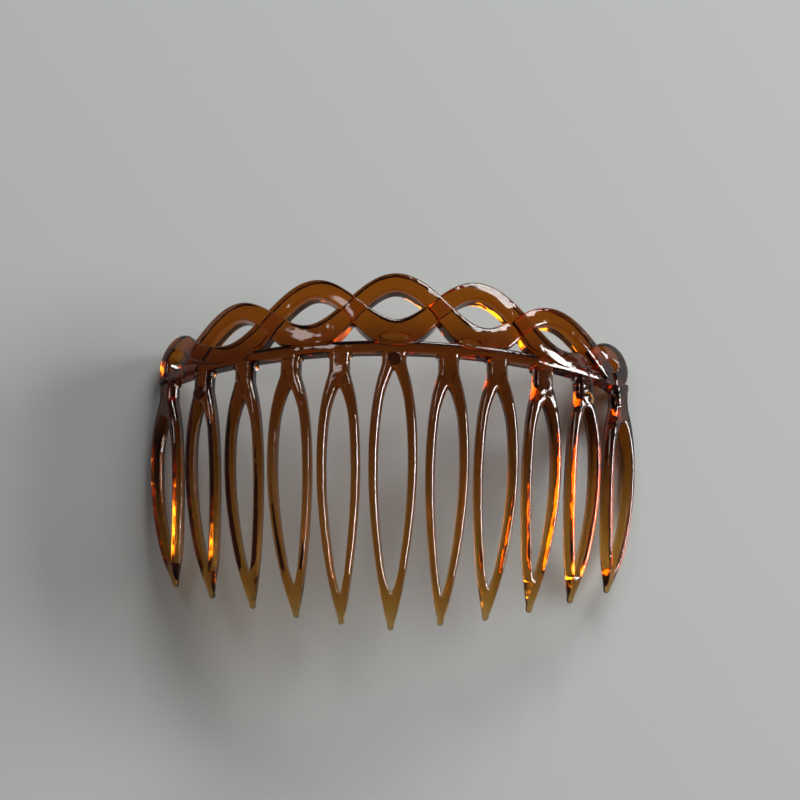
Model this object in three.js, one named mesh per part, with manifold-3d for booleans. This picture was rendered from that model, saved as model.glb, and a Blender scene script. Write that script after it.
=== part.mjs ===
// Side hair comb: a bowed spine with eleven loop teeth below it and an
// openwork two-strand twist above it.  Millimetres, +Z up.  The comb lies
// with its rounded face up and its teeth pointing along -Y.
//
// Everything is drawn on one curved sheet.  A place on it is given by
//   s  distance along the bow, from the middle of the comb,
//   t  distance up the comb from the underside of the spine (teeth are at -t),
//   n  height above the middle of the sheet, positive on the rounded face.
import * as THREE from 'three';
import { mergeVertices } from 'three/addons/utils/BufferGeometryUtils.js';
import Module from 'manifold-3d';

const wasm = await Module();
wasm.setup();

// ---- Driving dimensions -------------------------------------------------
const bowRadius = 48.6;          // bow of the comb from side to side
const crownRadius = 130;         // gentle curve from crest to tooth tips
const crownLine = -10;           // t where the sheet is highest
const joinGap = 0.15;            // clearance between neighbouring solids
const lieTilt = -0.0586;          // radians, how far the crest leans down when it lies

const toothCount = 11;
const centrePitch = 9.1;         // middle tooth to its neighbours
const sidePitch = 8.4;           // every other pair of teeth

// From the middle tooth outwards, one value for each pair of teeth.
const toothLength = [47, 45.9, 44.3, 41.8, 38.7, 35];
const toothWidth = [8.2, 7.4, 7.8, 7.1, 6.8, 7.1];
const slitStart = [2.8, 5.8, 5.3, 6.4, 5.7, 6.1];
const tipLength = [6.4, 5.1, 5.6, 5.8, 4.9, 4.2];

const middleNeckWidth = 4.1;
const sideNeckWidth = 3.3;
const middleLeafStart = 1;       // where the middle tooth begins to swell
const sideLeafStart = 2.5;
const rootFlare = 0.7;           // fillet where a neck meets the spine
const rodWidth = 1.85;           // one rod of a tooth, at its neck
const rodTaper = 0.5;            // how much thinner the rod is at the tip
const toothThickness = 2.4;
const tipThickness = 0.9;
const tipHalfWidth = 0.6;
const slitTopRound = 3.5;        // length over which a slit opens
const slitBottomRound = 2.2;     // length over which it closes

const spineHeight = 2;
const spineThickness = 2.6;
const spineHalfLength = 41.3;

const twistPitch = 14.5;         // hump to hump
const twistMiddle = 8.5;         // t of the twist's own centre line
const twistDrop = 0.0033;        // how fast that line falls to the sides
const twistHeight = 4.25;        // how far a strand swings up and down
const twistShrink = 0.0008;      // how fast the swing lessens
const strandWidth = 3.1;
const strandThickness = 3.1;
const strandLift = 0.4;          // over and under at a crossing
const footDepth = 1.5;           // a low strand grows this much towards the spine
const footLevel = 1.6;           // and no further down than this t
const strandEnd = 39.2;          // where the first strand runs into the spine
const stationSpacing = 1.5;      // along a strand
const leftLoopWidth = 2.3;       // the end loops narrow from the strand's width
const rightLoopWidth = 2.9;
// Centre lines of the end loops beyond the last crossing, as [s, t].
const leftLoopKnots = [[38.6, 6.1], [40.6, 6.3], [42.2, 5.3], [43, 3.7], [43, 1.8], [42.8, 0.1]];
const rightLoopKnots = [[38.4, 5.6], [40.4, 5.9], [42, 5.2], [42.7, 3.7], [42.3, 2.2], [41.2, 1.4], [40, 1.3]];

const padRadius = 1.15;          // round ejector pads on the necks
const padHeight = 0.3;
const padGap = 0.05;
const padTeeth = [2, 6, 10];
const middlePadPlace = -1.3;
const sidePadPlace = -3.7;

// ---- Curved sheet -------------------------------------------------------
function onSheet(s, t, n) {
  const crown = (t - crownLine) / crownRadius;
  const reach = bowRadius - crownRadius + (crownRadius + n) * Math.cos(crown);
  const bow = s / bowRadius;
  return new THREE.Vector3(
    reach * Math.sin(bow),
    crownLine + (crownRadius + n) * Math.sin(crown),
    reach * Math.cos(bow));
}

// ---- Solids -------------------------------------------------------------
function signedVolume(positions, triangles) {
  const corner = [new THREE.Vector3(), new THREE.Vector3(), new THREE.Vector3()];
  let volume = 0;
  for (let i = 0; i < triangles.length; i += 3) {
    corner.forEach((point, k) => point.fromArray(positions, 3 * triangles[i + k]));
    volume += corner[0].dot(corner[1].clone().cross(corner[2])) / 6;
  }
  return volume;
}

// A closed geometry as a manifold solid, with its faces turned outwards.
function solidFrom(geometry) {
  const bare = geometry.clone();
  bare.deleteAttribute('normal');
  bare.deleteAttribute('uv');
  const welded = mergeVertices(bare, 1e-5);
  const vertProperties = new Float32Array(welded.attributes.position.array);
  const triVerts = new Uint32Array(welded.index.array);
  if (signedVolume(vertProperties, triVerts) < 0) {
    for (let i = 0; i < triVerts.length; i += 3) {
      [triVerts[i], triVerts[i + 1]] = [triVerts[i + 1], triVerts[i]];
    }
  }
  return new wasm.Manifold(new wasm.Mesh({ numProp: 3, vertProperties, triVerts }));
}

function geometryFrom(solid) {
  const mesh = solid.getMesh();
  const geometry = new THREE.BufferGeometry();
  geometry.setAttribute('position', new THREE.BufferAttribute(mesh.vertProperties, 3));
  geometry.setIndex(new THREE.BufferAttribute(mesh.triVerts, 1));
  const flat = geometry.toNonIndexed();
  flat.computeVertexNormals();
  return flat;
}

// A square section of half side 1 whose corners are cut off.  The outer
// `corner` of each side is the cut part.
const corner = 0.3;
function easedSection() {
  const inner = 1 - corner;
  const points = [];
  for (let quarter = 0; quarter < 4; quarter++) {
    for (const [a, b] of [[1, inner], [inner, 1]]) {
      const point = new THREE.Vector2(a, b);
      points.push(point.rotateAround(new THREE.Vector2(), quarter * Math.PI / 2));
    }
  }
  return new THREE.Shape(points);
}

function squareSection() {
  return new THREE.Shape([
    new THREE.Vector2(-1, -1),
    new THREE.Vector2(1, -1),
    new THREE.Vector2(1, 1),
    new THREE.Vector2(-1, 1),
  ]);
}

// Places one coordinate of the section so that its cut corner keeps a true
// size, `ease`, whatever the half size is.
function atHalfSize(value, half, ease) {
  return Math.sign(value) * (half - (1 - Math.abs(value)) * ease / corner);
}

// Carries a section along 0..1 in equal steps and lets `place` put every
// point of it.
function carriedBar(section, steps, place) {
  const geometry = new THREE.ExtrudeGeometry(section, { depth: 1, steps, bevelEnabled: false });
  const position = geometry.attributes.position;
  for (let i = 0; i < position.count; i++) {
    const point = place(position.getX(i), position.getY(i), position.getZ(i));
    position.setXYZ(i, point.x, point.y, point.z);
  }
  return solidFrom(geometry);
}

// ---- Teeth --------------------------------------------------------------
// Outline of a leaf from its start (0) to its point (1): full width at 0.4.
function leaf(along) {
  const swell = Math.sin(Math.PI * Math.min(1, Math.max(0, along)) ** 0.756);
  return Math.max(0, swell) ** (along < 0.4 ? 0.5 : 0.65);
}

function toothOutline(pair, down) {
  const neck = (pair === 0 ? middleNeckWidth : sideNeckWidth) / 2;
  const start = pair === 0 ? middleLeafStart : sideLeafStart;
  const swell = toothWidth[pair] / 2 * leaf((down - start) / (toothLength[pair] - start));
  const shank = down < toothLength[pair] / 3 ? neck : 0;
  const flare = down < rootFlare ? rootFlare - Math.sqrt(rootFlare ** 2 - (rootFlare - down) ** 2) : 0;
  return Math.max(tipHalfWidth, (shank ** 6 + swell ** 6) ** (1 / 6) + flare);
}

function slitOutline(pair, down) {
  const top = slitStart[pair];
  const bottom = toothLength[pair] - tipLength[pair];
  const rod = rodWidth - rodTaper * down / toothLength[pair];
  const opening = Math.sqrt(Math.min(1, Math.max(0, down - top) / slitTopRound));
  const closing = Math.sqrt(Math.min(1, Math.max(0, bottom - down) / slitBottomRound));
  return Math.max(0.12, (toothOutline(pair, down) - rod) * opening * closing);
}

function thicknessAt(pair, down) {
  const tipStart = toothLength[pair] - 1.6 * tipLength[pair];
  const share = Math.min(1, Math.max(0, (down - tipStart) / (toothLength[pair] - tipStart)));
  return THREE.MathUtils.lerp(toothThickness, tipThickness, share);
}

// Stations crowd towards both ends, where the outline turns fastest.
function crowdedToEnds(step) {
  return THREE.MathUtils.lerp(step, (1 - Math.cos(Math.PI * step)) / 2, 0.75);
}

// One loop tooth, drawn about s = 0: two rods round a slit, joined in a
// solid wedge at the tip.
function tooth(pair) {
  const length = toothLength[pair];
  const blade = carriedBar(easedSection(), 20, (a, b, step) => {
    const down = joinGap + (length - joinGap) * crowdedToEnds(step);
    const half = toothOutline(pair, down);
    const depth = thicknessAt(pair, down) / 2;
    const edge = Math.min(0.45, 0.7 * depth, 0.8 * half);
    return onSheet(atHalfSize(a, half, edge), -down, atHalfSize(b, depth, edge));
  });
  const bottom = length - tipLength[pair];
  const slit = carriedBar(squareSection(), 16, (a, b, step) => {
    const down = THREE.MathUtils.lerp(slitStart[pair], bottom, crowdedToEnds(step));
    return onSheet(a * slitOutline(pair, down), -down, b * toothThickness);
  });
  return blade.subtract(slit);
}

// ---- Twist --------------------------------------------------------------
// Height of a strand's centre line: `side` is 1 for the strand whose hump is
// in the middle of the comb and -1 for the other.
function strandHeight(side, s) {
  const swing = (twistHeight - twistShrink * s ** 2) * Math.cos(Math.PI * s / twistPitch);
  return twistMiddle - twistDrop * s ** 2 + side * swing;
}

// Strands falling towards +s pass on the rounded face, rising ones behind.
function strandRise(side, s) {
  return side * strandLift * Math.sin(Math.PI * s / twistPitch);
}

// How far a strand's lower edge reaches down to stand on the spine where the
// strand is low.
function footAt(side, s) {
  const low = Math.max(0, -side * Math.cos(Math.PI * s / twistPitch));
  const room = strandHeight(side, s) - strandWidth / 2 - footLevel;
  return Math.min(footDepth, Math.max(0, room)) * low ** 0.9;
}

// A flat band carried along `route`, a function of 0..1 that gives a place
// on the sheet, the band's width there and its foot, the extra width on its
// lower side.  `extra` swells it all round.
function band(route, steps, extra = 0) {
  return carriedBar(easedSection(), steps, (a, b, step) => {
    const here = route(step);
    const before = route(Math.max(0, step - 1e-3));
    const after = route(Math.min(1, step + 1e-3));
    const run = Math.hypot(after.s - before.s, after.t - before.t);
    const lower = a * (after.s - before.s) < 0 ? here.foot : 0;
    const across = atHalfSize(a, here.width / 2 + lower + extra, 0.45);
    const depth = atHalfSize(b, strandThickness / 2 + extra, 0.45);
    return onSheet(
      here.s - across * (after.t - before.t) / run,
      here.t + across * (after.s - before.s) / run,
      here.n + depth);
  });
}

function strandRoute(side, from, to) {
  return (step) => {
    const s = THREE.MathUtils.lerp(from, to, step);
    return {
      s,
      t: strandHeight(side, s),
      n: strandRise(side, s),
      width: strandWidth,
      foot: footAt(side, s),
    };
  };
}

// The second strand from a crossing where it is hidden, over the top of an
// end loop, round its outside and back to the spine.  `hand` is -1 on the
// left, where the loop passes in front, and 1 on the right.
function endLoopRoute(hand, hidden) {
  const knots = hand < 0 ? leftLoopKnots : rightLoopKnots;
  const endWidth = hand < 0 ? leftLoopWidth : rightLoopWidth;
  const places = [];
  for (let s = hidden; s <= crossings[5]; s += twistPitch / 4) {
    places.push(new THREE.Vector3(hand * s, strandHeight(-1, s), strandRise(-1, hand * s)));
  }
  knots.forEach(([s, t]) => places.push(new THREE.Vector3(hand * s, t, 0)));
  const curve = new THREE.CatmullRomCurve3(places, false, 'centripetal');
  return (step) => {
    const point = curve.getPointAt(step);
    const outside = THREE.MathUtils.smoothstep(Math.abs(point.x), crossings[5], knots[3][0]);
    const width = THREE.MathUtils.lerp(strandWidth, endWidth, outside);
    return { s: point.x, t: point.y, n: point.z, width, foot: 0 };
  };
}

const crossings = [-2.5, -1.5, -0.5, 0.5, 1.5, 2.5].map((turn) => turn * twistPitch);

// The stretch of a strand near one crossing, a little swollen, to cut the
// strand that passes behind it.
function crossingCutter(side, crossing) {
  const reach = twistPitch / 2;
  const limit = side > 0 ? strandEnd : Infinity;
  const from = Math.max(-limit, crossing - reach);
  const to = Math.min(limit, crossing + reach);
  return band(strandRoute(side, from, to), 12, joinGap);
}

function cutBehind(solid, side, from, to) {
  for (const crossing of crossings) {
    const isNear = crossing > from && crossing < to;
    if (isNear && strandRise(side, crossing) < 0) {
      solid = solid.subtract(crossingCutter(-side, crossing));
    }
  }
  return solid;
}

function strandSteps(from, to) {
  return Math.round((to - from) / stationSpacing);
}

function strand(side, from, to) {
  const whole = band(strandRoute(side, from, to), strandSteps(from, to));
  return cutBehind(whole, side, from - 1, to + 1);
}

// ---- Assembly -----------------------------------------------------------
const amber = { color: 0x6b3209, roughness: 0.16, metalness: 0 };
const comb = new THREE.Group();

function addPiece(name, solid, turn = 0) {
  const mesh = new THREE.Mesh(geometryFrom(solid), new THREE.MeshStandardMaterial(amber));
  mesh.name = name;
  mesh.rotation.y = turn;
  comb.add(mesh);
  return mesh;
}

function toothAngle(number) {
  const pair = Math.abs(number - (toothCount + 1) / 2);
  const along = pair === 0 ? 0 : centrePitch + (pair - 1) * sidePitch;
  return Math.sign(number - (toothCount + 1) / 2) * along / bowRadius;
}

for (let number = 1; number <= toothCount; number++) {
  const pair = Math.abs(number - (toothCount + 1) / 2);
  addPiece(`tooth_${String(number).padStart(2, '0')}`, tooth(pair), toothAngle(number));
}

for (const number of padTeeth) {
  const place = number === (toothCount + 1) / 2 ? middlePadPlace : sidePadPlace;
  const middle = onSheet(0, place, toothThickness / 2 + padGap + padHeight / 2);
  const disc = new THREE.CylinderGeometry(padRadius, padRadius, padHeight, 24);
  disc.rotateX(Math.PI / 2 - (place - crownLine) / crownRadius);
  disc.translate(middle.x, middle.y, middle.z);
  addPiece(`ejector_pad_${String(number).padStart(2, '0')}`, solidFrom(disc), toothAngle(number));
}

const leftRoute = endLoopRoute(-1, crossings[4]);
const rightRoute = endLoopRoute(1, crossings[5]);
const leftSteps = 34;
const rightSteps = 20;
const endA = strandEnd;
const startB = crossings[1] + joinGap;
const endB = crossings[5] - 1.5 * joinGap;
const leftLoop = cutBehind(band(leftRoute, leftSteps), -1, crossings[1] - 1, crossings[1] + 1);
const rightLoop = cutBehind(band(rightRoute, rightSteps), -1, crossings[5] - 1, crossings[5] + 1);
const strandA = strand(1, -endA, endA).subtract(band(leftRoute, leftSteps, joinGap));
const strandB = strand(-1, startB, endB);

addPiece('twist_strand_a', strandA);
addPiece('twist_strand_b', strandB);
addPiece('left_end_loop', leftLoop);
addPiece('right_end_loop', rightLoop);

const swollenTwist = [
  band(strandRoute(1, -endA - joinGap, endA + joinGap), strandSteps(-endA, endA), joinGap),
  band(strandRoute(-1, startB, endB), strandSteps(startB, endB), joinGap),
  band(leftRoute, leftSteps, joinGap),
  band(rightRoute, rightSteps, joinGap),
];
let spine = carriedBar(easedSection(), 40, (a, b, step) => onSheet(
  THREE.MathUtils.lerp(-spineHalfLength, spineHalfLength, step),
  spineHeight / 2 + atHalfSize(a, spineHeight / 2, 0.4),
  atHalfSize(b, spineThickness / 2, 0.4)));
swollenTwist.forEach((cutter) => {
  spine = spine.subtract(cutter);
});
addPiece('spine_bar', spine);

// The comb lies on its end loops and outermost teeth, which tips it a
// little.  The origin is under its middle, on the surface it lies on.
comb.rotation.x = lieTilt;
const room = new THREE.Box3().setFromObject(comb, true);
comb.position.set(-(room.min.x + room.max.x) / 2, -(room.min.y + room.max.y) / 2, -room.min.z);

export default comb;
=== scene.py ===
# Amber side comb: bowed spine, eleven loop teeth, two-strand openwork twist.
# It lies rounded face up. Metres, +Z up, teeth along -Y.
import math

import bmesh
import bpy
import numpy as np
from mathutils import Matrix, Vector


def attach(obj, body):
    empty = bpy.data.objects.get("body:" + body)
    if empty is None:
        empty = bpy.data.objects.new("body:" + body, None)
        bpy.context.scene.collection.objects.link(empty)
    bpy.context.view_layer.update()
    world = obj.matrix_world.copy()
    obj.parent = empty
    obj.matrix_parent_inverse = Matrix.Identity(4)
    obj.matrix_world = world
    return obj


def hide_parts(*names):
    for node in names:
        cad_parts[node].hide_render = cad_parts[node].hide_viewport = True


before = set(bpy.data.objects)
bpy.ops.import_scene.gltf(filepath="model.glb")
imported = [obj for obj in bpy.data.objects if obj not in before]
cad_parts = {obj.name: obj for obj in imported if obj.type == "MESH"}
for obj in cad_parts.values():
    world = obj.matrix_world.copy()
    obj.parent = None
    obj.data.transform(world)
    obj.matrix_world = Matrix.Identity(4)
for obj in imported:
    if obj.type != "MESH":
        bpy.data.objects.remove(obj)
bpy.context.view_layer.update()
mm = 0.001

sheet = {
    "bowRadius": 48.6,     # bow from side to side
    "crownRadius": 130.0,  # slight curve from crest to tips
    "crownLine": -10.0,    # height on the sheet where the crown is highest
    "tilt": -0.0586,       # radians, how far its crest leans down as it lies
    "shift": (0.0, 13.434002914325866, -28.495903299295563),
}


def onSheet(s, t, n):
    # A place s along the bow, t up the comb and n out of the rounded face:
    # the crown arc turns (t, n) about a far centre, the bow arc turns the
    # result about the comb's own axis, then the whole comb is tilted and set
    # down on the floor. Millimetres in, metres out, all as arrays.
    crown = (t - sheet["crownLine"]) / sheet["crownRadius"]
    out = sheet["crownRadius"] + n
    reach = sheet["bowRadius"] - sheet["crownRadius"] + out * np.cos(crown)
    up = sheet["crownLine"] + out * np.sin(crown)
    bow = s / sheet["bowRadius"]
    x, y, z = reach * np.sin(bow), up, reach * np.cos(bow)
    c, d = math.cos(sheet["tilt"]), math.sin(sheet["tilt"])
    placed = np.stack([x, y * c - z * d, y * d + z * c], -1)
    return (placed + np.array(sheet["shift"])) * mm


def meshFrom(name, points, quads):
    # Points (N,3) and corner indices (M,4) straight into a mesh, corners
    # reversed when the signed volume, the sum of each corner against the
    # cross of the next two, comes out negative.
    a, b, c, d = (points[quads[:, k]] for k in range(4))
    volume = np.einsum("ij,ij->i", a, np.cross(b, c)).sum()
    volume += np.einsum("ij,ij->i", a, np.cross(c, d)).sum()
    if volume < 0:
        quads = quads[:, ::-1]
    mesh = bpy.data.meshes.new(name)
    mesh.vertices.add(len(points))
    mesh.vertices.foreach_set("co", points.astype(np.float32).ravel())
    mesh.loops.add(quads.size)
    mesh.loops.foreach_set("vertex_index", quads.astype(np.int32).ravel())
    mesh.polygons.add(len(quads))
    mesh.polygons.foreach_set("loop_start", np.arange(len(quads), dtype=np.int32) * 4)
    mesh.update(calc_edges=True)
    piece = bpy.data.objects.new(name, mesh)
    bpy.context.scene.collection.objects.link(piece)
    return piece


def gridQuads(rows, columns):
    # Corner indices of a grid closed in both directions: each place with its
    # neighbours one row and one column on, counted round past the last.
    r = np.arange(rows)[:, None]
    k = np.arange(columns)[None, :]
    r2, k2 = (r + 1) % rows, (k + 1) % columns
    corners = [r * columns + k, r * columns + k2, r2 * columns + k2, r2 * columns + k]
    return np.stack([c.ravel() for c in corners], -1)


def tubeQuads(rows, columns):
    # The same grid without its last row of faces, so left open at its ends.
    return gridQuads(rows, columns)[: (rows - 1) * columns]


def welded(piece, distance=1e-6):
    # Joins points nearer than the distance, such as an end drawn to a point,
    # and drops the faces that have no area left.
    work = bmesh.new()
    work.from_mesh(piece.data)
    bmesh.ops.remove_doubles(work, verts=work.verts, dist=distance)
    bmesh.ops.dissolve_degenerate(work, edges=work.edges, dist=distance / 10)
    work.to_mesh(piece.data)
    work.free()
    return piece


def roundedSection(cornerSteps, flatSteps):
    # A rounded rectangle as four columns: the corner a point's arc is centred
    # on, as a share of each half side, and the cosine and sine of its angle.
    rows = []
    for quarter in range(4):
        turn = quarter * math.pi / 2
        signs = [(1, 1), (-1, 1), (-1, -1), (1, -1)]
        ax, ay = signs[quarter]
        for step in range(cornerSteps + 1):
            angle = turn + math.pi / 2 * step / cornerSteps
            rows.append((ax, ay, math.cos(angle), math.sin(angle)))
        bx, by = signs[(quarter + 1) % 4]
        angle = turn + math.pi / 2
        for step in range(1, flatSteps):
            f = step / flatSteps
            rows.append((ax + (bx - ax) * f, ay + (by - ay) * f, math.cos(angle), math.sin(angle)))
    return np.array(rows)


camera = {
    "elevation": 74.3,     # degrees above the floor, from the tips' side
    "roll": 0.8,           # degrees, the comb's right end hangs lower
    "distance": 3.0,
    "acrossView": 0.132,   # width seen at the distance of the comb
    "right": 0.000924,     # aimed this far right of the middle of the spine
    "below": 0.0080685,    # and this far below it
    "sensor": 36.0,
}


def placeCamera():
    # The view axis leans back by the elevation, the up axis turns by the
    # roll, and the aim is carried along both in the comb's own plane.
    rise, roll = math.radians(camera["elevation"]), math.radians(camera["roll"])
    towards = Vector((0, -math.cos(rise), math.sin(rise)))
    upright = Vector((0, math.sin(rise), math.cos(rise)))
    level = Vector((1, 0, 0))
    right = level * math.cos(roll) + upright * math.sin(roll)
    up = upright * math.cos(roll) - level * math.sin(roll)
    spineMiddle = Vector(onSheet(np.array(0.0), np.array(0.0), np.array(1.2)))
    aim = spineMiddle + right * camera["right"] - up * camera["below"]
    lens = bpy.data.cameras.new("camera")
    lens.sensor_width = camera["sensor"]
    lens.lens = camera["sensor"] * camera["distance"] / camera["acrossView"]
    lens.clip_start, lens.clip_end = 0.01, 20.0
    holder = bpy.data.objects.new("camera", lens)
    turn = Matrix((right, up, towards)).transposed().to_4x4()
    holder.matrix_world = Matrix.Translation(aim + towards * camera["distance"]) @ turn
    bpy.context.scene.collection.objects.link(holder)
    bpy.context.scene.camera = holder


placeCamera()
print("camera placed")


teeth = {
    "count": 11,
    "centrePitch": 9.1,
    "sidePitch": 8.4,
    # one value for each pair, from the middle tooth outwards
    "length": [47, 45.9, 44.3, 41.8, 38.7, 35],
    "width": [8.2, 7.4, 7.8, 7.1, 6.8, 7.1],
    "slitStart": [2.8, 5.8, 5.3, 6.4, 5.7, 6.1],
    "tipLength": [6.4, 5.1, 5.6, 5.8, 4.9, 4.2],
    "neckWidth": [4.1, 3.5, 3.5, 3.5, 3.5, 3.5],
    "leafStart": [1, 2.5, 2.5, 2.5, 2.5, 2.5],
    "rootFlare": 0.4,
    "rodWidth": 1.85,
    "rodTaper": 0.5,       # how much narrower a rod is at the tip
    "leafBend": 0.756,
    "fullest": 0.4,        # where along a leaf it is widest
    "leafPowers": (0.5, 0.65),
    "neckEnd": 0.45,       # share of the length where a neck has gone
    "neckFade": 0.12,      # and the share over which it goes
    "thickness": 2.4,
    "tipThickness": 0.9,
    "tipHalfWidth": 0.6,
    "wedge": 1.6,          # tip lengths over which a tooth thins
    "slitTopRound": 5.5,
    "slitBottomRound": 3.5,
    "slitTopRun": 3.0,     # how far the spokes bunch up at a slit's ends
    "slitBottomRun": 2.4,
    "rootDepth": 1.2,      # how far a neck runs up inside the spine
    "stations": 92,        # along one side of a tooth
    "spokes": 14,          # from its outside to its slit
}
middleTooth = (teeth["count"] + 1) // 2


def leaf(along):
    # Nothing at either end and full at the widest place: a sine of a bent
    # parameter, raised to a lower power before that place than after it.
    swell = np.sin(np.pi * np.clip(along, 0, 1) ** teeth["leafBend"])
    return np.clip(swell, 0, None) ** np.where(along < teeth["fullest"], *teeth["leafPowers"])


def toothHalfWidth(pair, down):
    # A neck and a leaf joined by a sixth-power mean, with a fillet where the
    # neck meets the spine and a round end on the tip.
    length, start = teeth["length"][pair], teeth["leafStart"][pair]
    swell = teeth["width"][pair] / 2 * leaf((down - start) / (length - start))
    left = (length * teeth["neckEnd"] - down) / (length * teeth["neckFade"])
    shank = teeth["neckWidth"][pair] / 2 * np.clip(left, 0, 1)
    r = teeth["rootFlare"]
    near = np.clip(r - down, 0, r)
    flare = r - np.sqrt(r * r - near ** 2)
    half = np.maximum(teeth["tipHalfWidth"], (shank ** 6 + swell ** 6) ** (1 / 6) + flare)
    tip = np.clip((down - (length - teeth["tipHalfWidth"])) / teeth["tipHalfWidth"], 0, 1)
    return half * np.sqrt(1 - tip ** 2)


def rodHalfWidth(pair, down):
    # Narrows in proportion to how far down the tooth it is.
    return (teeth["rodWidth"] - teeth["rodTaper"] * down / teeth["length"][pair]) / 2


def slitHalfWidth(pair, down):
    # The tooth less its two rods, closing along a quarter ellipse at each end.
    top = teeth["slitStart"][pair]
    bottom = teeth["length"][pair] - teeth["tipLength"][pair]
    a = np.clip((down - top) / teeth["slitTopRound"], 0, 1)
    b = np.clip((bottom - down) / teeth["slitBottomRound"], 0, 1)
    ends = np.sqrt(a * (2 - a)) * np.sqrt(b * (2 - b))
    return (toothHalfWidth(pair, down) - 2 * rodHalfWidth(pair, down)) * ends


def fromOutline(x, down, sides):
    # Shortest distance of every grid point to the segments of the outlines.
    best = np.full(x.shape, 1e9)
    for line in sides:
        a, b = line[:-1], line[1:]
        run = b - a
        size = np.maximum((run ** 2).sum(1), 1e-12)
        px, pd = x[..., None] - a[:, 0], down[..., None] - a[:, 1]
        along = np.clip((px * run[:, 0] + pd * run[:, 1]) / size, 0, 1)
        gap = np.hypot(px - along * run[:, 0], pd - along * run[:, 1])
        best = np.minimum(best, gap.min(-1))
    return best


def standsAt(number):
    # Where a tooth's centre line is: the centre pitch, then side pitches.
    pair = abs(number - middleTooth)
    out = teeth["centrePitch"] + (pair - 1) * teeth["sidePitch"]
    return 0 if pair == 0 else np.sign(number - middleTooth) * out


def toothPiece(number):
    # Spokes run from the tooth's outside to its slit and close into a ring
    # over the front and under the back. Each point's height comes from its
    # distance to the nearest edge: a quarter circle in front and a flatter
    # cubed curve behind, both full beyond half a rod's width.
    pair = abs(number - middleTooth)
    length, slitTop = teeth["length"][pair], teeth["slitStart"][pair]
    slitBottom = length - teeth["tipLength"][pair]
    root = teeth["rootDepth"]
    # Outside of the left half: along the hidden top edge, then down the side.
    neck = float(toothHalfWidth(pair, np.array(0.0)))
    span = neck + root
    e = np.linspace(0, 1, teeth["stations"])
    e = 0.35 * e + 0.65 * (1 - np.cos(np.pi * e)) / 2
    place = -span + (length + span) * e
    outDown = np.where(place < -root, -root, place)
    outX = np.where(place < -root, place + span, 0)
    outX = np.where(place >= -root, toothHalfWidth(pair, np.maximum(outDown, 0)), outX)
    # Inside: the same heights, drawn in softly to the two ends of the slit.
    topRun, bottomRun = teeth["slitTopRun"], teeth["slitBottomRun"]
    sharpTop = (slitTop + topRun + span) / topRun
    sharpBottom = (length - slitBottom + bottomRun) / bottomRun
    upper = np.clip((place + span) / (slitTop + topRun + span), 0, 1)
    lower = np.clip((length - place) / (length - slitBottom + bottomRun), 0, 1)
    inDown = np.where(upper < 1, slitTop + topRun * upper ** sharpTop, place)
    inDown = np.where(lower < 1, slitBottom - bottomRun * lower ** sharpBottom, inDown)
    inX = slitHalfWidth(pair, inDown)
    # Spokes across the band, crowded to both edges.
    k = teeth["spokes"]
    v = (1 - np.cos(np.pi * np.arange(k + 1) / k)) / 2
    x = outX[:, None] * (1 - v) + inX[:, None] * v
    down = outDown[:, None] * (1 - v) + inDown[:, None] * v
    fine = np.linspace(-root, length, 500)
    outer = np.stack([toothHalfWidth(pair, np.maximum(fine, 0)), fine], -1)
    finer = slitTop + (slitBottom - slitTop) * (1 - np.cos(np.pi * np.linspace(0, 1, 400))) / 2
    inner = np.stack([slitHalfWidth(pair, finer), finer], -1)
    away = fromOutline(x, down, [outer, inner])
    away[place >= -root, 0] = 0
    away[:, -1] = 0
    tipStart = length - teeth["wedge"] * teeth["tipLength"][pair]
    share = np.clip((down - tipStart) / (length - tipStart), 0, 1)
    share = share * share * (3 - 2 * share) * 0.5 + share * 0.5
    thick = (teeth["thickness"] * (1 - share) + teeth["tipThickness"] * share) / 2
    narrow = 0.85 * toothHalfWidth(pair, np.maximum(down, 0)) + 0.05
    easing = np.minimum(rodHalfWidth(pair, down), narrow)
    near = np.clip(1 - away / easing, 0, 1)
    front = thick * np.sqrt(1 - near ** 2)
    back = -thick * (1 - near ** 3) ** (1 / 3)
    # Once round each spoke: front from outside to slit, back the other way.
    ringX = np.concatenate([x, x[:, ::-1]], 1)
    ringDown = np.concatenate([down, down[:, ::-1]], 1)
    ringRise = np.concatenate([front, back[:, ::-1]], 1)
    ringX = np.concatenate([-ringX, ringX[-2:0:-1]], 0)
    ringDown = np.concatenate([ringDown, ringDown[-2:0:-1]], 0)
    ringRise = np.concatenate([ringRise, ringRise[-2:0:-1]], 0)
    points = onSheet(ringX + standsAt(number), -ringDown, ringRise).reshape(-1, 3)
    return welded(meshFrom(f"tooth_{number:02d}", points, gridQuads(*ringX.shape)), 2e-6)


toothPieces = [toothPiece(number) for number in range(1, teeth["count"] + 1)]
print("teeth made:", len(toothPieces), "each about", len(toothPieces[5].data.polygons), "faces")


twist = {
    "pitch": 14.5,        # crossing to crossing
    "middle": 8.5,        # height of the centre line up the comb
    "drop": 0.0033,       # how it droops, per millimetre squared
    "height": 4.25,       # of the swing either side of it
    "shrink": 0.0008,     # how that shrinks, per millimetre squared
    "width": 3.1,
    "thickness": 3.1,
    "lift": 0.4,          # over and under at a crossing
    "footDepth": 1.5,     # extra width where a strand is lowest
    "footLevel": 1.6,     # and the height it stops at
    "end": 39.6,
    "endDraw": 0.8,       # length over which an end is drawn to a point
    "round": 0.45,        # rounding of a strand's edges
    "dome": 0.07,         # how much its front face bulges
}
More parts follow.
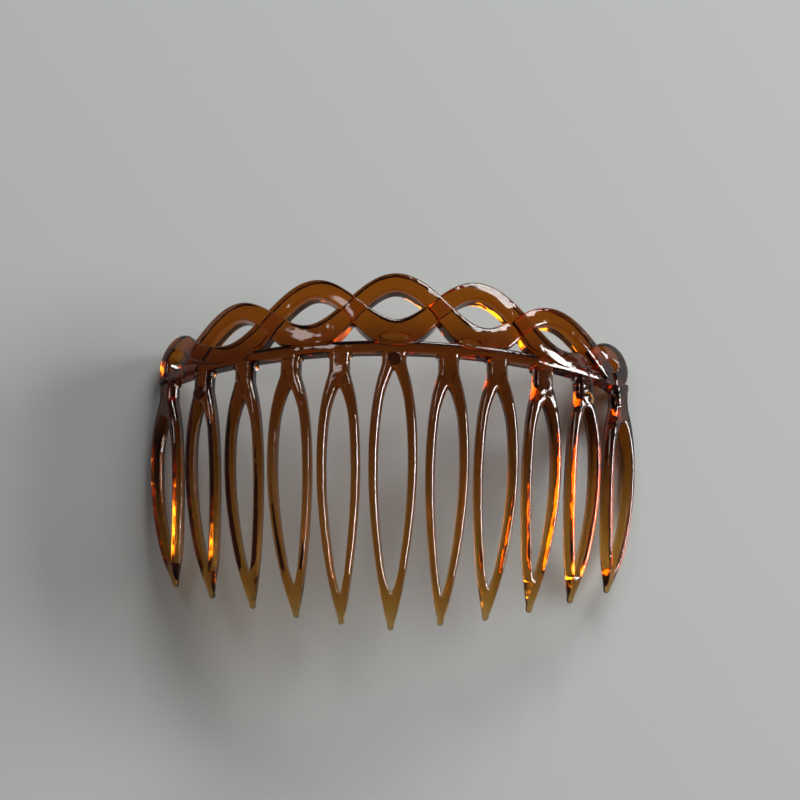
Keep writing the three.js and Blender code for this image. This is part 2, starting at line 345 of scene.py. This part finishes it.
# Each end loop by its side: its width where it is thinnest, and its centre
# line beyond the last crossing.
endLoops = {
    -1: {"width": 2.3,
         "knots": [(38.6, 6.1), (40.6, 6.3), (42.2, 5.3), (43, 3.7), (43, 1.8), (42.8, -0.6)]},
    1: {"width": 2.9,
        "knots": [(38.4, 5.6), (40.4, 5.9), (42, 5.2), (42.7, 3.7), (42.3, 2.2), (41.2, 1.4), (40, 1.3)]},
}
spine = {"height": 2.0, "thickness": 2.6, "halfLength": 43.4, "round": 0.45, "dome": 0.03}


def strandHeight(side, s):
    # A cosine swing about a centre line that droops with the square of s.
    swing = (twist["height"] - twist["shrink"] * s ** 2) * np.cos(np.pi * s / twist["pitch"])
    return twist["middle"] - twist["drop"] * s ** 2 + side * swing


def strandRise(side, s):
    # A sine swing in and out, so the falling strand is the one in front.
    return side * twist["lift"] * np.sin(np.pi * s / twist["pitch"])


def footAt(side, s):
    # Extra width on the low side, as the power 0.9 of how low the strand is.
    low = np.clip(-side * np.cos(np.pi * s / twist["pitch"]), 0, None)
    room = strandHeight(side, s) - twist["width"] / 2 - twist["footLevel"]
    return np.minimum(twist["footDepth"], np.clip(room, 0, None)) * low ** 0.9


def throughKnots(knots, perSpan):
    # Centripetal Catmull-Rom through the knots: each span is the pyramid of
    # straight blends over knot times that grow with the square root of the
    # distance between neighbours.
    ends = [2 * knots[0] - knots[1]], [2 * knots[-1] - knots[-2]]
    p = np.concatenate([ends[0], knots, ends[1]])
    made = []
    for i in range(len(p) - 3):
        q = p[i:i + 4]
        gaps = np.sqrt(np.linalg.norm(np.diff(q, axis=0), axis=1))
        t0, t1, t2, t3 = np.concatenate([[0], np.cumsum(gaps)])
        t = np.linspace(t1, t2, perSpan, endpoint=False)[:, None]
        a1 = (t1 - t) / (t1 - t0) * q[0] + (t - t0) / (t1 - t0) * q[1]
        a2 = (t2 - t) / (t2 - t1) * q[1] + (t - t1) / (t2 - t1) * q[2]
        a3 = (t3 - t) / (t3 - t2) * q[2] + (t - t2) / (t3 - t2) * q[3]
        b1 = (t2 - t) / (t2 - t0) * a1 + (t - t0) / (t2 - t0) * a2
        b2 = (t3 - t) / (t3 - t1) * a2 + (t - t1) / (t3 - t1) * a3
        made.append((t2 - t) / (t2 - t1) * b1 + (t - t1) / (t2 - t1) * b2)
    made.append(knots[-1:])
    return np.concatenate(made)


def evenly(line, spacing):
    # The same line at equal steps of its own length.
    length = np.concatenate([[0], np.cumsum(np.linalg.norm(np.diff(line[:, :3], axis=0), axis=1))])
    wanted = np.linspace(0, length[-1], int(round(length[-1] / spacing)) + 1)
    return np.stack([np.interp(wanted, length, line[:, k]) for k in range(line.shape[1])], -1)


def bandPiece(name, line, rounding, dome, spacing=0.25):
    # A rounded bar carried along line, whose columns are s, t, rise, half
    # width above, half width below and half thickness. The section is offset
    # along the line's own normal, and both ends draw in on a quarter circle.
    line = evenly(line, spacing)
    section = roundedSection(cornerSteps=5, flatSteps=5)
    run = np.gradient(line[:, :2], axis=0)
    run /= np.linalg.norm(run, axis=1)[:, None]
    along = np.arange(len(line)) * spacing
    fromEnd = np.minimum(along, along[::-1]) / twist["endDraw"]
    draw = np.sqrt(1 - (1 - np.clip(fromEnd, 0, 1)) ** 2)
    ax, ay, cx, cy = section.T
    upper, lower, half = line[:, 3], line[:, 4], line[:, 5]
    reach = np.where(ax > 0, upper[:, None], lower[:, None])
    across = ax * np.maximum(reach - rounding, 0) + cx * rounding
    across *= draw[:, None]
    bulge = np.where(ay > 0, dome * (1 - ax ** 2), 0)
    deep = ay * np.maximum(half - rounding, 0)[:, None] + cy * rounding + bulge
    deep *= draw[:, None]
    s = line[:, 0, None] - across * run[:, 1, None]
    t = line[:, 1, None] + across * run[:, 0, None]
    n = line[:, 2, None] + deep
    points = onSheet(s, t, n).reshape(-1, 3)
    return welded(meshFrom(name, points, tubeQuads(*s.shape)), 2e-6)


def strandLine(side, s):
    # A strand's six columns, wider below by its foot.
    half = np.full(s.shape, twist["width"] / 2)
    thick = np.full(s.shape, twist["thickness"] / 2)
    foot = half + footAt(side, s)
    return np.stack([s, strandHeight(side, s), strandRise(side, s), half, foot, thick], -1)


def loopLine(hand):
    # From the last crossing over the top of the end loop, round its outside
    # and back into the spine. A smooth step takes the width from a strand's
    # to the loop's own.
    last = 2.5 * twist["pitch"]
    start = last - twist["pitch"] / 2
    lead = np.arange(start, last + 0.1, twist["pitch"] / 8)
    knots = [(hand * a, strandHeight(-1, a), strandRise(-1, hand * a)) for a in lead]
    knots += [(hand * a, b, 0.0) for a, b in endLoops[hand]["knots"]]
    line = throughKnots(np.array(knots, float), 24)
    outermost = max(a for a, b in endLoops[hand]["knots"])
    edge = np.clip((np.abs(line[:, 0]) - last) / (outermost - last), 0, 1)
    thinner = (endLoops[hand]["width"] - twist["width"]) * edge * edge * (3 - 2 * edge)
    half = (twist["width"] + thinner) / 2
    extra = footAt(-1, np.abs(line[:, 0])) * (np.abs(line[:, 0]) < last)
    thick = np.full(len(line), twist["thickness"] / 2)
    return np.column_stack([line, half, half + extra, thick])


def secondStrandLine():
    # Left end loop, the woven middle and the right end loop in one sweep.
    left, right = loopLine(-1)[::-1], loopLine(1)
    inner = 2 * twist["pitch"]
    left = left[left[:, 0] < -inner]
    right = right[right[:, 0] > inner]
    middle = strandLine(-1, np.linspace(-inner, inner, 400))
    return np.concatenate([left, middle, right])


def spineLine():
    # A straight line on the sheet, half its height up from the teeth.
    s = np.linspace(-spine["halfLength"], spine["halfLength"], 200)
    half = np.full(s.shape, spine["height"] / 2)
    return np.stack([s, half, 0 * s, half, half, 0 * s + spine["thickness"] / 2], -1)


firstStrandLine = strandLine(1, np.linspace(-twist["end"], twist["end"], 600))
strandA = bandPiece("twist_strand_a", firstStrandLine, twist["round"], twist["dome"])
strandB = bandPiece("twist_strand_b", secondStrandLine(), twist["round"], twist["dome"])
spineBar = bandPiece("spine_bar", spineLine(), spine["round"], spine["dome"])
print("twist and spine made")


# Hollows moulded into the face where a low lobe meets the spine: each a
# place along and up, then half its length, half its height and its depth
# below a level just under the strands' face.
hollowLevel = twist["thickness"] / 2 - 0.15
hollows = [(0.1, 2.55, 2.6, 0.85, 0.75), (12.4, 2.2, 1.9, 0.75, 0.6), (-12.6, 2.2, 1.5, 0.6, 0.4)]


def hollowCutter(s, t, halfLength, halfHeight, depth):
    # An ellipsoid as rings from end to end: the cosine of the swing places a
    # ring and its sine sizes it.
    turn = np.linspace(0, 2 * math.pi, 40, endpoint=False)
    swing = np.linspace(0, math.pi, 33)[:, None]
    along = s - halfLength * np.cos(swing) + 0 * turn
    up = t + halfHeight * np.sin(swing) * np.cos(turn)
    out = hollowLevel + depth * np.sin(swing) * np.sin(turn)
    points = onSheet(along, up, out).reshape(-1, 3)
    return welded(meshFrom("hollow", points, tubeQuads(*up.shape)), 2e-6)


def joined(base, others, operation="UNION"):
    # Adds or takes away each other closed piece in turn, then drops it.
    for other in others:
        step = base.modifiers.new("join", "BOOLEAN")
        step.operation, step.solver, step.object = operation, "MANIFOLD", other
        bpy.context.view_layer.update()
        evaluated = base.evaluated_get(bpy.context.evaluated_depsgraph_get())
        done = bpy.data.meshes.new_from_object(evaluated)
        base.modifiers.remove(step)
        base.data = done
        bpy.data.objects.remove(other)
    return base


moulding = joined(spineBar, [strandA, strandB] + toothPieces)
moulding = joined(moulding, [hollowCutter(*hollow) for hollow in hollows], "DIFFERENCE")
moulding.name = "comb_moulding"
print("joined:", len(moulding.data.polygons), "faces")


plastic = {
    "colour": (0.98, 0.9, 0.75),
    "roughness": 0.06,
    "absorbs": (0.84, 0.62, 0.03),  # share of each colour let through
    "density": 1600.0,     # per metre
    "waves": 0.35,         # strength of the moulded waviness
    "waveSize": 260.0,     # waves in a metre
    "waveDepth": 0.0006,   # metres
    "driftSize": 60.0,     # patches of colour in a metre
    "scratches": 0.12,     # strength of the hairlines
    "hairDepth": 0.00002,  # metres
    "worn": (0.55, 0.8, 0.16),  # hairline noise from and to, and the roughness it adds
    "hairs": (2400.0, 90.0, 2400.0),  # hairlines in a metre, drawn out along the teeth
    "tint": 0.06,          # how much the colour drifts over the comb
    "shadeTint": (0.4, 0.26, 0.16),  # painted shade: darker colour on the spine and the necks, standing in for the shadowed floor seen through them
    "shadeFrom": -32.0,     # where down the teeth it has faded out
    "shadeFull": -8.0,      # and where it is at its full depth
    "shadeTop": 1.0,        # where it starts to fade above the spine
    "shadeTo": 8.0,         # and where up the twist it has gone
    "ior": 1.49,
}


def socket(tree, name, kind, into=True, value=None):
    # One socket on a shader node group's own interface.
    way = "INPUT" if into else "OUTPUT"
    made = tree.interface.new_socket(name, in_out=way, socket_type=kind)
    if value is not None:
        made.default_value = value
    return made


def mouldedSurface():
    # Puts out the drift of the colour, the roughness and the bumped normal
    # of a polished moulding: slow waves, then fine hairlines along one axis,
    # which also roughen it where the hairline noise is strongest.
    tree = bpy.data.node_groups.new("mouldedSurface", "ShaderNodeTree")
    socket(tree, "Waves", "NodeSocketFloat", value=0.3)
    socket(tree, "Wave Size", "NodeSocketFloat", value=200.0)
    socket(tree, "Scratches", "NodeSocketFloat", value=0.1)
    socket(tree, "Base Roughness", "NodeSocketFloat", value=0.05)
    socket(tree, "Drift", "NodeSocketFloat", into=False)
    socket(tree, "Roughness", "NodeSocketFloat", into=False)
    socket(tree, "Normal", "NodeSocketVector", into=False)
    add, link = tree.nodes.new, tree.links.new
    given, out = add("NodeGroupInput"), add("NodeGroupOutput")
    place = add("ShaderNodeTexCoord")
    waves = add("ShaderNodeTexNoise")
    waves.inputs["Detail"].default_value = 2.0
    link(place.outputs["Object"], waves.inputs["Vector"])
    link(given.outputs["Wave Size"], waves.inputs["Scale"])
    drift = add("ShaderNodeTexNoise")
    drift.inputs["Scale"].default_value = plastic["driftSize"]
    drift.inputs["Detail"].default_value = 3.0
    link(place.outputs["Object"], drift.inputs["Vector"])
    link(drift.outputs[0], out.inputs["Drift"])
    stretch = add("ShaderNodeMapping")
    stretch.inputs["Scale"].default_value = plastic["hairs"]
    link(place.outputs["Object"], stretch.inputs["Vector"])
    hairs = add("ShaderNodeTexNoise")
    hairs.inputs["Scale"].default_value = 1.0
    hairs.inputs["Detail"].default_value = 4.0
    link(stretch.outputs[0], hairs.inputs["Vector"])
    worn = add("ShaderNodeMapRange")
    for name, value in zip(("From Min", "From Max", "To Max"), plastic["worn"]):
        worn.inputs[name].default_value = value
    link(hairs.outputs[0], worn.inputs["Value"])
    rough = add("ShaderNodeMath")
    rough.operation = "ADD"
    link(worn.outputs[0], rough.inputs[0])
    link(given.outputs["Base Roughness"], rough.inputs[1])
    link(rough.outputs[0], out.inputs["Roughness"])
    soft = add("ShaderNodeBump")
    soft.inputs["Distance"].default_value = plastic["waveDepth"]
    link(given.outputs["Waves"], soft.inputs["Strength"])
    link(waves.outputs[0], soft.inputs["Height"])
    fine = add("ShaderNodeBump")
    fine.inputs["Distance"].default_value = plastic["hairDepth"]
    link(given.outputs["Scratches"], fine.inputs["Strength"])
    link(hairs.outputs[0], fine.inputs["Height"])
    link(soft.outputs[0], fine.inputs["Normal"])
    link(fine.outputs[0], out.inputs["Normal"])
    return tree


def heightUpSheet(points):
    # The way back from a place to its height t: undo the tilt, measure the
    # reach from the bow's axis, then the angle about the crown's far centre.
    x, y, z = (points / mm - np.array(sheet["shift"])).T
    c, d = math.cos(sheet["tilt"]), math.sin(sheet["tilt"])
    y, z = y * c + z * d, z * c - y * d
    reach = np.hypot(x, z) - sheet["bowRadius"] + sheet["crownRadius"]
    return sheet["crownLine"] + sheet["crownRadius"] * np.arctan2(y - sheet["crownLine"], reach)


def storePaintedShade(piece):
    # How much painted shade each point gets, standing in for the shadowed floor
    # seen through the comb: full from the spine to the necks, fading down the
    # teeth and up into the twist, as smooth steps of height.
    points = np.empty(len(piece.data.vertices) * 3, np.float32)
    piece.data.vertices.foreach_get("co", points)
    t = heightUpSheet(points.reshape(-1, 3).astype(float))
    low = np.clip((t - plastic["shadeFrom"]) / (plastic["shadeFull"] - plastic["shadeFrom"]), 0, 1)
    high = np.clip((plastic["shadeTo"] - t) / (plastic["shadeTo"] - plastic["shadeTop"]), 0, 1)
    amount = low * low * (3 - 2 * low) * high * high * (3 - 2 * high)
    layer = piece.data.attributes.new("paintedShade", "FLOAT", "POINT")
    layer.data.foreach_set("value", amount.astype(np.float32))


def amberPlastic():
    # Clear plastic. Light loses, for each metre of it crossed, the density
    # times one less the colour let through. The surface tint goes from plain
    # to deeper with the drift, then is multiplied by the painted shade colour
    # where the painted shade mask is full, darkening the spine and the necks
    # for the shadowed floor seen through them.
    material = bpy.data.materials.new("amberPlastic")
    material.use_nodes = True
    tree = material.node_tree
    shader = tree.nodes["Principled BSDF"]
    shader.inputs["IOR"].default_value = plastic["ior"]
    shader.inputs["Transmission Weight"].default_value = 1.0
    surface = tree.nodes.new("ShaderNodeGroup")
    surface.node_tree = mouldedSurface()
    surface.inputs["Waves"].default_value = plastic["waves"]
    surface.inputs["Wave Size"].default_value = plastic["waveSize"]
    surface.inputs["Scratches"].default_value = plastic["scratches"]
    surface.inputs["Base Roughness"].default_value = plastic["roughness"]
    tree.links.new(surface.outputs["Roughness"], shader.inputs["Roughness"])
    tree.links.new(surface.outputs["Normal"], shader.inputs["Normal"])
    tinted = tree.nodes.new("ShaderNodeMix")
    tinted.data_type = "RGBA"
    tinted.inputs["A"].default_value = (*plastic["colour"], 1)
    deeper = [c * (1 - plastic["tint"] * (k + 1)) for k, c in enumerate(plastic["colour"])]
    tinted.inputs["B"].default_value = (*deeper, 1)
    tree.links.new(surface.outputs["Drift"], tinted.inputs["Factor"])
    # Painted shade: the spine and necks are multiplied darker, standing in for the shadowed floor seen
    # through them.
    paintedShade = tree.nodes.new("ShaderNodeAttribute")
    paintedShade.attribute_name = "paintedShade"
    shadeTint = tree.nodes.new("ShaderNodeMix")
    shadeTint.data_type = "RGBA"
    shadeTint.blend_type = "MULTIPLY"
    shadeTint.inputs["B"].default_value = (*plastic["shadeTint"], 1)
    tree.links.new(paintedShade.outputs["Fac"], shadeTint.inputs["Factor"])
    tree.links.new(tinted.outputs["Result"], shadeTint.inputs["A"])
    tree.links.new(shadeTint.outputs["Result"], shader.inputs["Base Color"])
    volume = tree.nodes.new("ShaderNodeVolumeAbsorption")
    volume.inputs["Color"].default_value = (*plastic["absorbs"], 1)
    volume.inputs["Density"].default_value = plastic["density"]
    tree.links.new(volume.outputs[0], tree.nodes["Material Output"].inputs["Volume"])
    return material


# Round marks the ejector pins left on the face, each a little proud of it.
pads = {"radius": 1.15, "height": 0.3, "clearance": 0.02, "middleDown": 1.3, "sideDown": 3.7, "edge": 0.08}


def roundPad(number):
    # A short disc that follows the sheet: rings of points from the middle of
    # its underside round its edge, a quarter circle, to the middle of its top.
    pair = abs(number - middleTooth)
    down = pads["middleDown"] if pair == 0 else pads["sideDown"]
    s = standsAt(number)
    face = teeth["thickness"] / 2
    low, high = face + pads["clearance"], face + pads["height"]
    r, e = pads["radius"], pads["edge"]
    arc = np.linspace(0, math.pi / 2, 5)
    reach = np.concatenate([[0, r * 0.5, r], r - e + e * np.cos(arc), [r * 0.5, 0]])
    rise = np.concatenate([[low, low, low], high - e + e * np.sin(arc), [high, high]])
    turn = np.linspace(0, 2 * math.pi, 64, endpoint=False)
    across = reach[:, None] * np.cos(turn)
    along = reach[:, None] * np.sin(turn)
    points = onSheet(s + across, along - down, np.broadcast_to(rise[:, None], across.shape))
    disc = meshFrom(f"round_pad_{number:02d}", points.reshape(-1, 3), tubeQuads(*across.shape))
    return welded(disc, 2e-6)


amber = amberPlastic()
padNumbers = [2, 6, 10]
padPieces = [roundPad(number) for number in padNumbers]
padNodes = [f"ejector_pad_{number:02d}" for number in padNumbers]
mouldingNodes = [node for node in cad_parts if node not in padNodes]
pairs = zip([moulding] + padPieces, [mouldingNodes] + [[node] for node in padNodes])
for piece, replaced in pairs:
    piece.data.materials.clear()
    piece.data.materials.append(amber)
    # Stores the painted shade mask that darkens the spine and the necks.
    storePaintedShade(piece)
    piece.data.shade_smooth()
    piece.data.set_sharp_from_angle(angle=math.radians(35))
    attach(piece, "root")
    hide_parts(*replaced)
print("plastic done")


floorColour = (0.47, 0.495, 0.495)
# Each light by its name: place, size, watts and colour.
lights = {
    "window": ((1.22, 0.2, 0.36), (0.7, 0.44), 26, (1.0, 0.98, 0.96)),
    "backLight": ((0.55, 1.15, 0.62), (0.8, 0.5), 17, (1.0, 0.98, 0.95)),
    "fill": ((-0.62, 0.75, 1.05), (0.3, 0.3), 1.8, (1.0, 0.93, 0.93)),
}
surroundings = {"colour": (0.8, 0.86, 0.9), "strength": 0.08}


def paleFloor():
    # One wide square at the height of the surface the comb lies on.
    material = bpy.data.materials.new("paleFloor")
    material.use_nodes = True
    shader = material.node_tree.nodes["Principled BSDF"]
    shader.inputs["Base Color"].default_value = (*floorColour, 1)
    shader.inputs["Roughness"].default_value = 0.8
    bpy.ops.mesh.primitive_plane_add(size=6)
    made = bpy.context.object
    made.name = "floor"
    made.data.materials.append(material)
    return made


def softLight(name, place, size, power, colour):
    # A rectangle of light at the place, turned to face the comb.
    lamp = bpy.data.lights.new(name, "AREA")
    lamp.shape = "RECTANGLE"
    lamp.size, lamp.size_y = size
    lamp.energy = power
    lamp.color = colour
    holder = bpy.data.objects.new(name, lamp)
    place = Vector(place)
    turn = place.to_track_quat("Z", "Y").to_matrix().to_4x4()
    holder.matrix_world = Matrix.Translation(place) @ turn
    bpy.context.scene.collection.objects.link(holder)


floor = paleFloor()
for name, settings in lights.items():
    softLight(name, *settings)
world = bpy.data.worlds.new("studio")
world.use_nodes = True
background = world.node_tree.nodes["Background"]
background.inputs["Color"].default_value = (*surroundings["colour"], 1)
background.inputs["Strength"].default_value = surroundings["strength"]
bpy.context.scene.world = world
bpy.context.scene.view_settings.view_transform = "Standard"
print("floor and lights placed")
